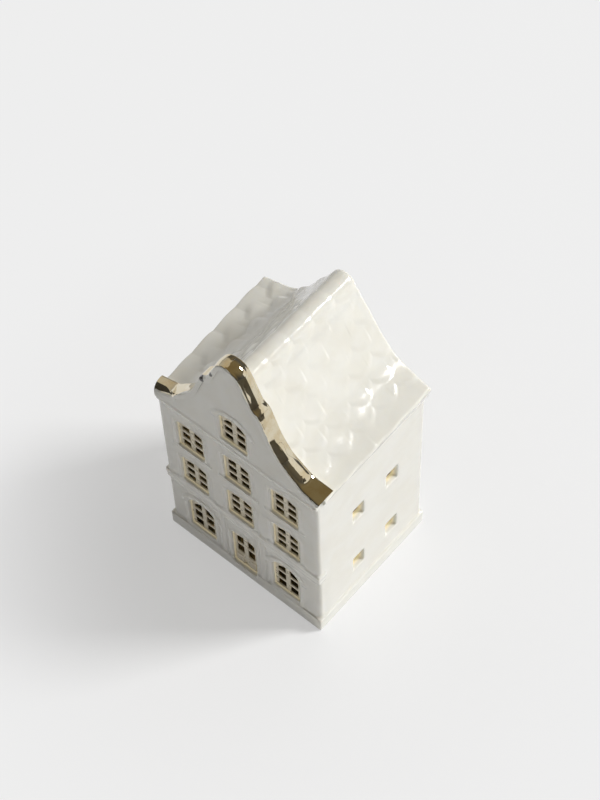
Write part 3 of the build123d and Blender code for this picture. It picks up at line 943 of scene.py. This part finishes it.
def coping_mesh():
    """Gilt roll that follows the gable, swelling and sinking a little as hand-finished clay does."""
    outline = gable_outline()
    mesh = bpy.data.meshes.new("gable_coping_gilt")
    work = bmesh.new()
    rings = []
    last = len(outline) - 1
    for index, (x, z) in enumerate(outline):
        before, after = outline[max(0, index - 1)], outline[min(last, index + 1)]
        tangent = Vector((after[0] - before[0], 0.0, after[1] - before[1])).normalized()
        outward = Vector((-tangent.z, 0.0, tangent.x))
        left = min(index, last - index) * coping_step
        flare = max(0.0, abs(x) - coping_flare_start) / (gable_half_width - coping_flare_start)
        end_depth = coping_end_depth if x > 0 else coping_left_depth
        depth = coping_depth + (end_depth - coping_depth) * min(1.0, flare)
        firm = eased(left, coping_end_flat - 1 * mm, coping_end_flat + 2 * mm)
        end_edge = coping_end_edge if x > 0 else coping_left_edge
        faded = eased(left, coping_edge_kept, coping_edge_faded)
        front_edge = end_edge + (coping_edge - end_edge) * faded
        ring = []
        for y, height in coping_section(depth, coping_dome(x, z, left), front_edge):
            if y > 0.0 and height > -coping_bed:
                along = index * coping_step / coping_swell_run
                swell = lumps.noise(Vector((along, y / coping_swell_width, 3.0)))
                height += coping_swell * firm * swell
            ring.append(work.verts.new(Vector((x, coping_front + y, z)) + outward * height))
        rings.append(ring)
    skinned(work, rings)
    return write_smooth(work, mesh, clay_sharp_turn)


add_piece("gable_coping_gilt", coping_mesh(), gold_lustre, "house", "gable_coping")

lattice_nodes = [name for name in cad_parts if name.endswith("_window")] + ["front_door"]
for node in lattice_nodes:
    pierced = softened(node, (), lattice_voxel, lattice_passes, lattice_kept_share)
    add_piece(f"{node}_glazed", pierced, lattice_glaze, "house", node)

for node, material in (("floor_plate", porcelain), ("wick_holder", tin_plate)):
    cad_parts[node].data.materials.clear()
    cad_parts[node].data.materials.append(material)


def lathed(name, profile, steps, shape=None):
    """Mesh turned about the tealight's axis; shape may move each point by its angle."""
    mesh = bpy.data.meshes.new(name)
    work = bmesh.new()
    rings = []
    for radius, height in profile:
        if radius == 0.0:
            rings.append([work.verts.new((0.0, 0.0, height))])
            continue
        ring = []
        for step in range(steps):
            angle = 2 * pi * step / steps
            r = shape(radius, height, angle) if shape else radius
            ring.append(work.verts.new((r * cos(angle), r * sin(angle), height)))
        rings.append(ring)
    for lower, upper in zip(rings, rings[1:]):
        for step in range(steps):
            after = (step + 1) % steps
            if len(lower) == 1:
                corners = [lower[0], upper[after], upper[step]]
            elif len(upper) == 1:
                corners = [lower[step], lower[after], upper[0]]
            else:
                corners = [lower[step], lower[after], upper[after], upper[step]]
            work.faces.new(corners)
    return write_smooth(work, mesh, lathe_sharp_turn)


def arc_points(centre, radius, start, end, count):
    """Points along an arc in a lathe profile, angles in degrees."""
    points = []
    for index in range(count + 1):
        angle = radians(start + (end - start) * index / count)
        points.append((centre[0] + radius * cos(angle), centre[1] + radius * sin(angle)))
    return points


def pleated(radius, height, angle):
    """Faint pleats that a pressed cup has up its side, fading towards its foot."""
    rise = (height - cup_foot) / (cup_rim_height - cup_foot)
    if radius < cup_radius - 2 * cup_wall or not 0.1 < rise < 0.95:
        return radius
    return radius - cup_pleat_depth * rise * (0.5 + 0.5 * cos(cup_pleats * angle))


def cup_mesh():
    """Pressed foil cup with a rounded foot and a rolled lip."""
    inner = cup_radius - cup_wall
    lip = (cup_radius + cup_lip, cup_rim_height - cup_lip)
    profile = [(0.0, cup_foot)]
    profile += arc_points((cup_radius - cup_corner, cup_foot + cup_corner), cup_corner, -90, 0, 6)
    profile += [(cup_radius, cup_foot + cup_corner + rise * mm) for rise in (2, 4, 6, 8, 10, 12, 14)]
    profile += arc_points(lip, cup_lip, -90, 150, 10)
    profile += [(inner, cup_rim_height - 2 * cup_lip), (inner, wax_foot + cup_corner)]
    profile += [(inner - cup_corner, wax_foot), (0.0, wax_foot)]
    return lathed("tealight_cup_foil", profile, cup_steps, pleated)


def wax_mesh():
    """Wax fill that climbs a little at the cup and dips round the wick."""
    top = wax_foot + wax_height
    foot = wax_foot + wax_gap
    profile = [(wick_foot_radius, foot), (wax_radius - cup_corner, foot), (wax_radius, foot + cup_corner)]
    profile.append((wax_radius, top))
    for share in wax_shares:
        fall = wax_meniscus * (1 - max(share, 0.5)) ** 0.5 if share > wax_wick_share else 0.0
        dip = wax_dip * max(0.0, 1 - share / wax_dip_share)
        profile.append((wax_radius * share, top - fall - dip))
    hole = wick_radius + wax_gap
    profile += [(hole, top - wax_hole_depth), (hole, foot + wax_foot_room)]
    profile += [(wick_foot_radius, foot + wax_foot_room), (wick_foot_radius, foot)]
    return lathed("tealight_wax_poured", profile, wax_steps)


def wick_mesh():
    """Cotton wick of twisted strands, rounded over at its tip."""
    mesh = bpy.data.meshes.new("tealight_wick_twisted")
    work = bmesh.new()
    strand = 0.5 * wick_radius
    for number in range(wick_strands):
        rings = []
        for row in range(wick_rows + 1):
            share = row / wick_rows
            turn = 2 * pi * (number / wick_strands + wick_turns * share)
            tip = min(1.0, max(wick_tip_share, (1 - share) * wick_tip_taper))
            middle = Vector((strand * cos(turn), strand * sin(turn), wick_foot + wick_length * share))
            ring = []
            for step in range(strand_steps):
                angle = 2 * pi * step / strand_steps
                reach = strand * tip
                ring.append(work.verts.new(middle + Vector((reach * cos(angle), reach * sin(angle), 0.0))))
            rings.append(ring)
        skinned(work, rings)
    return write_smooth(work, mesh)


add_piece("tealight_cup_foil", cup_mesh(), aluminium_foil, "tealight", "tealight_cup")
add_piece("tealight_wax_poured", wax_mesh(), wax, "tealight", "tealight_wax")
add_piece("tealight_wick_twisted", wick_mesh(), cotton, "tealight", "tealight_wick")


def floor_material():
    """Plain pale studio floor, lifted towards white where the camera or a gloss sees it."""
    material, tree, shader = new_tree("pale_floor")
    place = object_place(tree)
    paper = noise(tree, place, 6.0, 2.0)
    pale, grey = (0.92, 0.92, 0.92, 1.0), (0.91, 0.91, 0.91, 1.0)
    base = mixed_colour(tree, paper, pale, grey)
    fill(tree, shader, {"Base Color": base, "Roughness": 0.9, "Specular IOR Level": 0.1})
    rays = tree.nodes.new("ShaderNodeLightPath").outputs
    seen = arithmetic(tree, "MAXIMUM", rays["Is Camera Ray"], rays["Is Glossy Ray"])
    seen = arithmetic(tree, "MAXIMUM", seen, rays["Is Transmission Ray"])
    radius = linked(tree, "ShaderNodeVectorMath", {"Vector": place}, operation="LENGTH").outputs["Value"]
    lift = remap(tree, radius, near_floor, open_floor, near_lift, open_lift)
    lifted = arithmetic(tree, "MULTIPLY", seen, lift)
    white = linked(tree, "ShaderNodeEmission", {"Strength": floor_white}).outputs["Emission"]
    mixed = linked(tree, "ShaderNodeMixShader", {0: lifted, 1: shader.outputs["BSDF"], 2: white})
    tree.links.new(mixed.outputs["Shader"], tree.nodes["Material Output"].inputs["Surface"])
    return material


def floor_object():
    """Wide floor under the house."""
    mesh = bpy.data.meshes.new("floor")
    work = bmesh.new()
    bmesh.ops.create_grid(work, x_segments=1, y_segments=1, size=floor_half_width)
    work.to_mesh(mesh)
    work.free()
    mesh.materials.append(floor_material())
    floor = bpy.data.objects.new("floor", mesh)
    floor.location.z = ground
    scene.collection.objects.link(floor)


def area_lamp(name, azimuth, elevation, distance, size, watts, colour):
    """Soft panel that looks at the middle of the house; azimuth 0 is in front of the facade."""
    a, e = radians(azimuth), radians(elevation)
    way = Vector((sin(a) * cos(e), -cos(a) * cos(e), sin(e)))
    data = bpy.data.lights.new(name, "AREA")
    data.shape = "RECTANGLE"
    data.size, data.size_y = size
    data.energy = watts
    data.color = colour
    lamp = bpy.data.objects.new(name, data)
    lamp.location = lamp_target + way * distance
    lamp.rotation_mode = "QUATERNION"
    lamp.rotation_quaternion = (-way).to_track_quat("-Z", "Y")
    scene.collection.objects.link(lamp)


def dim_studio():
    """Grey room, darkest in front of the house, under a ceiling that is brown where a gloss sees it."""
    world = bpy.data.worlds.new("studio")
    world.use_nodes = True
    tree = world.node_tree
    way = tree.nodes.new("ShaderNodeTexCoord").outputs["Generated"]
    axes = linked(tree, "ShaderNodeSeparateXYZ", {"Vector": way}).outputs
    beside = remap(tree, axes["Y"], -0.75, 0.1)
    wall = mixed_colour(tree, beside, (0.04, 0.04, 0.04, 1.0), (0.10, 0.10, 0.10, 1.0))
    overhead = remap(tree, axes["Z"], 0.1, 0.8)
    glossy = tree.nodes.new("ShaderNodeLightPath").outputs["Is Glossy Ray"]
    ceiling = mixed_colour(tree, glossy, (0.22, 0.216, 0.208, 1.0), (0.21, 0.17, 0.095, 1.0))
    room = mixed_colour(tree, overhead, wall, ceiling)
    tree.links.new(room, tree.nodes["Background"].inputs["Color"])
    scene.world = world


def felt_material(name, felt, worn_felt):
    """Felt of the flags, paler where it is worn."""
    material, tree, shader = new_tree(name)
    nap = noise(tree, object_place(tree), 900.0, 3.0)
    fill(tree, shader, {
        "Base Color": mixed_colour(tree, nap, felt, worn_felt),
        "Roughness": remap(tree, nap, 0.2, 0.8, 0.85, 0.95)})
    return material


def felt_flag(name, corners, felt):
    """Felt flag out of the picture, which only the gilding and the glaze mirror."""
    mesh = bpy.data.meshes.new(name)
    mesh.from_pydata(corners, [], [(0, 1, 2, 3)])
    mesh.materials.append(felt)
    flag = bpy.data.objects.new(name, mesh)
    flag.visible_camera = False
    flag.visible_diffuse = False
    flag.visible_shadow = False
    scene.collection.objects.link(flag)


floor_object()
grey_felt = felt_material("grey_felt", (0.13, 0.12, 0.1, 1.0), (0.18, 0.17, 0.15, 1.0))
black_felt = felt_material("black_felt", (0.02, 0.019, 0.016, 1.0), (0.03, 0.029, 0.025, 1.0))
for flags, felt in ((grey_flags, grey_felt), (black_flags, black_felt)):
    for name, (start, end, foot, top) in flags.items():
        felt_flag(name, [(*start, foot), (*end, foot), (*end, top), (*start, top)], felt)
felt_flag("floor_flag", floor_flag, black_felt)
dim_studio()
for name, setting in lamps.items():
    area_lamp(name, *setting)


def photo_camera():
    """Camera where the photograph was taken from."""
    back = Vector((
        sin(camera_azimuth) * cos(camera_elevation),
        -cos(camera_azimuth) * cos(camera_elevation),
        sin(camera_elevation)))
    right = Vector((cos(camera_azimuth), sin(camera_azimuth), 0.0))
    up = back.cross(right)
    target = camera_pivot + pan_right * right + pan_up * up
    level_right = right
    right = cos(camera_roll) * level_right + sin(camera_roll) * up
    up = -sin(camera_roll) * level_right + cos(camera_roll) * up
    data = bpy.data.cameras.new("photo_camera")
    data.sensor_fit = "AUTO"
    data.sensor_width = sensor
    data.lens = focal_pixels / image_height * sensor
    camera = bpy.data.objects.new("photo_camera", data)
    turn = Matrix((right, up, back)).transposed().to_4x4()
    camera.matrix_world = Matrix.Translation(target + back * camera_distance) @ turn
    scene.collection.objects.link(camera)
    scene.camera = camera


photo_camera()
scene.view_settings.view_transform = "Standard"
